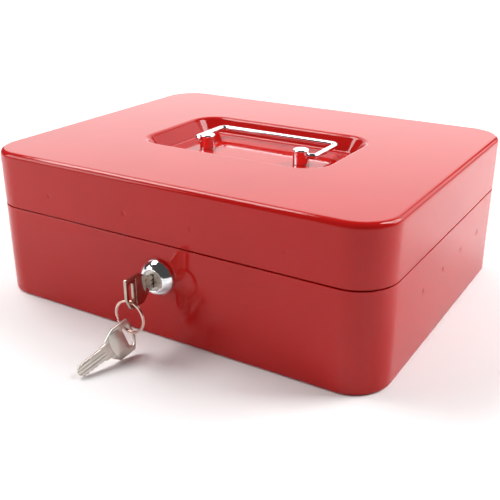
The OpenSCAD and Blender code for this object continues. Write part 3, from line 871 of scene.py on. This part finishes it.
def key_outline():
    """Bow, neck and blade in one outline, with small cuts along both edges of the blade."""
    bow, neck, blade = BOW_W / 2, NECK_W / 2, BLADE_W / 2
    corners = [(SLOT_IN, -bow, 1.2), (7 - BOW_IN, -bow, 2.0), (-BOW_IN, -neck - 1.6, 1.4),
               (-BOW_IN - 0.8, -neck, 0.6), (-SHOULDER_IN, -neck, 0.5), (-SHOULDER_IN, -blade, 0.2)]
    cuts = [-SHOULDER_IN - 5.4 - 3.4 * i for i in range(4)]
    for i, x in enumerate(cuts):
        corners += blade_cut(x, -blade, 1, 0.55 + 0.25 * (i % 2))
    corners += [(2.6 - KEY_TIP, -blade, 0.6), (-KEY_TIP, -1.6, 0.8), (-KEY_TIP, 1.6, 0.8),
                (2.6 - KEY_TIP, blade, 0.6)]
    for i, x in reversed(list(enumerate(cuts))):
        corners += reversed(blade_cut(x, blade, -1, 0.55 + 0.25 * ((i + 1) % 2)))
    corners += [(-SHOULDER_IN, blade, 0.2), (-SHOULDER_IN, neck, 0.5), (-BOW_IN - 0.8, neck, 0.6),
                (-BOW_IN, neck + 1.6, 1.2), (4 - BOW_IN, bow, 1.6), (SLOT_IN - 3.8, bow, 1.4),
                (SLOT_IN, bow - 7.5, 1.6)]
    return list(reversed(rounded(corners)))


def slot_outline(w, length):
    """Slot with round ends, its points clockwise."""
    flat = (length - w) / 2
    return arc(0, -flat, w / 2, 360, 180, 12) + arc(0, flat, w / 2, 180, 0, 12)


def panel_outline():
    """Raised field on both faces of the bow, round towards the blade."""
    half = BOW_W / 2 - 2
    centre, reach = 5.3, 19
    low = math.degrees(math.asin(half / reach))
    return arc(centre, 0, reach, 180 - low, 180 + low, 20) + [(-4.4, -half), (-4.4, half)]


def moved(shape, matrix):
    """Shape with its points moved by a matrix in metres."""
    points, faces = shape
    return [tuple(matrix @ (Vector(p) * MM) / MM) for p in points], faces


def build_key(name, body, node, matrix, tones, polish):
    """Flat key with grooves along its blade and a raised field on its bow."""
    nickel = brushed_nickel(name + "_nickel", matrix, tones, polish)
    blank = plate([key_outline(), slot_outline(SLOT_W, SLOT_LEN)], KEY_T, 0.2)
    key = make(name, moved(blank, matrix), nickel, None)
    for face, y, half in GROOVES:
        outside = face * (KEY_T / 2 + 0.2)
        inside = face * (KEY_T / 2 - GROOVE_DEPTH)
        low = (-KEY_TIP - 1, y - half, min(outside, inside))
        high = (-SHOULDER_IN + 1.5, y + half, max(outside, inside))
        cut(key, moved(block(low, high), matrix))
    shade(key, 35)
    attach(key, body)
    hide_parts(node)
    field = plate([panel_outline()], KEY_T + 0.5, 0.18)
    make(name + "_field", moved(field, matrix), nickel, body)


# key_one's nickel tones are darker and browner than key_two's: painted shade and painted reflection of the
# red box
build_key("key_one", "key", "key_in_lock", placed(0, KEY_SLOT_Y, LOCK_Z, (-90, 0, -90)),
          [(0.42, 0.35, 0.29), (0.52, 0.43, 0.37)], (0.12, 0.22))
build_key("key_two", "spare", "spare_key",
          placed(*SPARE_AT, SPARE_TURN), [(0.70, 0.66, 0.60), (0.80, 0.76, 0.69)], (0.26, 0.38))


def build_ring():
    """Wire coiled twice, with the step where it passes from one turn to the other."""
    steps = 144
    gap = math.radians(5)
    crossing = math.radians(26)
    path = []
    for i in range(2 * steps + 1):
        turn = gap + (2 * TAU - 2 * gap) * i / (2 * steps)
        over = (turn - TAU) / crossing
        y = RING_TURN * math.tanh(over * 1.6) / math.tanh(1.6 * (TAU - gap) / crossing)
        a = turn + math.radians(200)
        path.append((RING_R * math.cos(a), y, RING_R * math.sin(a)))
    section = [(math.copysign(abs(math.cos(t)) ** 0.8, math.cos(t)) * RING_WIRE_R,
                math.copysign(abs(math.sin(t)) ** 0.6, math.sin(t)) * RING_TURN * 0.98)
               for t in (TAU * k / 20 for k in range(20))]
    make("key_ring", tube(path, section), ring_nickel(), "ring", ["split_ring"],
         placed(RING_X, KEY_SLOT_Y, RING_Z))


build_ring()


# ---------------------------------------------------------------- CAD nodes that stay, with their finish

# Material and width of the rounded edges of each
FINISH = {
    "tray_ledge_left": (RED, 0.15), "tray_ledge_right": (RED, 0.15),
    "hinge_leaf_body_left": (RED, 0.08), "hinge_leaf_body_right": (RED, 0.08),
    "hinge_leaf_lid_left": (RED, 0.2), "hinge_leaf_lid_right": (RED, 0.2),
    "hinge_rivets_body": (ZINC, 0.1), "hinge_rivets_lid": (ZINC, 0.1),
    "hinge_pin_left": (ZINC, 0.15), "hinge_pin_right": (ZINC, 0.15),
    "lock_nut": (ZINC, 0.3), "strike_plate": (ZINC, 0.15), "handle_washers": (ZINC, 0.12),
    "handle_screws": (ZINC, 0.12), "lock_wafers": (BRASS, 0.06), "wafer_springs": (ZINC, 0.02),
    "lock_cam": (ZINC, 0.25), "cam_washer": (ZINC, 0.12), "cam_screw": (ZINC, 0.1),
    "coin_tray": (BLACK, 0.5),
}


def free_edges(node):
    """Short edges would clamp the bevel to no width. Here it isn't clamped, and the empty faces
    that it leaves are welded away."""
    node.modifiers["bevel"].use_clamp_overlap = False
    close = node.modifiers.new("close", "WELD")
    close.merge_threshold = WELD_REACH * MM


def finish_nodes():
    """Gives each CAD node that stays its material and rounded edges."""
    for name, (material, edge) in FINISH.items():
        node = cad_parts[name]
        node.data.materials.clear()
        node.data.materials.append(material)
        soften(node, edge)
        if name.startswith("hinge_leaf_body"):
            free_edges(node)


finish_nodes()


# ---------------------------------------------------------------- stage

def build_floor():
    """Plain sweep 8 m across."""
    half = 4000
    shape = ([(-half, -half, 0), (half, -half, 0), (half, half, 0), (-half, half, 0)], [(0, 1, 2, 3)])
    floor = make("floor", shape, pale_floor(), None)


def softbox(name, place, aim, width, height, radiance):
    """Area light with an even face of the given radiance. Places are in metres."""
    light = bpy.data.lights.new(name, "AREA")
    light.shape = "RECTANGLE"
    light.size = width
    light.size_y = height
    light.energy = radiance * math.pi * width * height
    lamp = bpy.data.objects.new(name, light)
    lamp.location = place
    lamp.rotation_euler = (Vector(aim) - Vector(place)).to_track_quat("-Z", "Y").to_euler()
    lamp.visible_camera = False
    bpy.context.scene.collection.objects.link(lamp)


def horizon_glow(tree):
    """A pale studio wall low down that fades into a dim ceiling."""
    place = tree.nodes.new("ShaderNodeTexCoord")
    parts = tree.nodes.new("ShaderNodeSeparateXYZ")
    fade = tree.nodes.new("ShaderNodeMapRange")
    fade.interpolation_type = "SMOOTHSTEP"
    fade.inputs["From Min"].default_value = 0.015
    fade.inputs["From Max"].default_value = 0.11
    fade.inputs["To Min"].default_value = 0.95
    fade.inputs["To Max"].default_value = 0.07
    tree.links.new(place.outputs["Generated"], parts.inputs["Vector"])
    tree.links.new(parts.outputs["Z"], fade.inputs["Value"])
    tree.links.new(fade.outputs["Result"], tree.nodes["Background"].inputs["Strength"])


def build_lights():
    softbox("softbox_back", (-1.05, 1.85, 1.10), (0, 0, 0.1), 2.8, 1.9, 1.62)
    softbox("card_back_right", (1.25, 1.90, 1.00), (0, 0, 0.1), 1.6, 1.2, 1.7)
    softbox("softbox_main", (-1.02, -0.06, 1.55), (-0.05, -0.05, 0.05), 0.95, 0.80, 10)
    softbox("softbox_right", (0.68, 0.40, 1.05), (0.30, 0.16, 0.0), 0.46, 0.46, 12)
    softbox("softbox_side", (0.72, 0.52, 0.62), (0.25, 0.15, 0.0), 0.55, 0.45, 5.6)
    softbox("card_left", (-0.80, -0.62, 0.50), (-0.12, -0.1, 0.05), 0.6, 0.4, 4.6)
    world = bpy.data.worlds.new("studio")
    world.use_nodes = True
    world.node_tree.nodes["Background"].inputs["Color"].default_value = (1, 1, 1, 1)
    horizon_glow(world.node_tree)
    bpy.context.scene.world = world


def build_camera():
    """The photo's own view, from a camera fitted to the box's corners and seam."""
    data = bpy.data.cameras.new("camera")
    data.lens = 55
    data.sensor_width = 36
    camera = bpy.data.objects.new("camera", data)
    camera.location = (0.27908, -0.46584, 0.25041)
    camera.rotation_euler = (math.radians(90 - 23.08), 0, math.radians(31.38))
    bpy.context.scene.collection.objects.link(camera)
    bpy.context.scene.camera = camera


build_floor()
build_lights()
build_camera()
bpy.context.scene.view_settings.view_transform = "Standard"
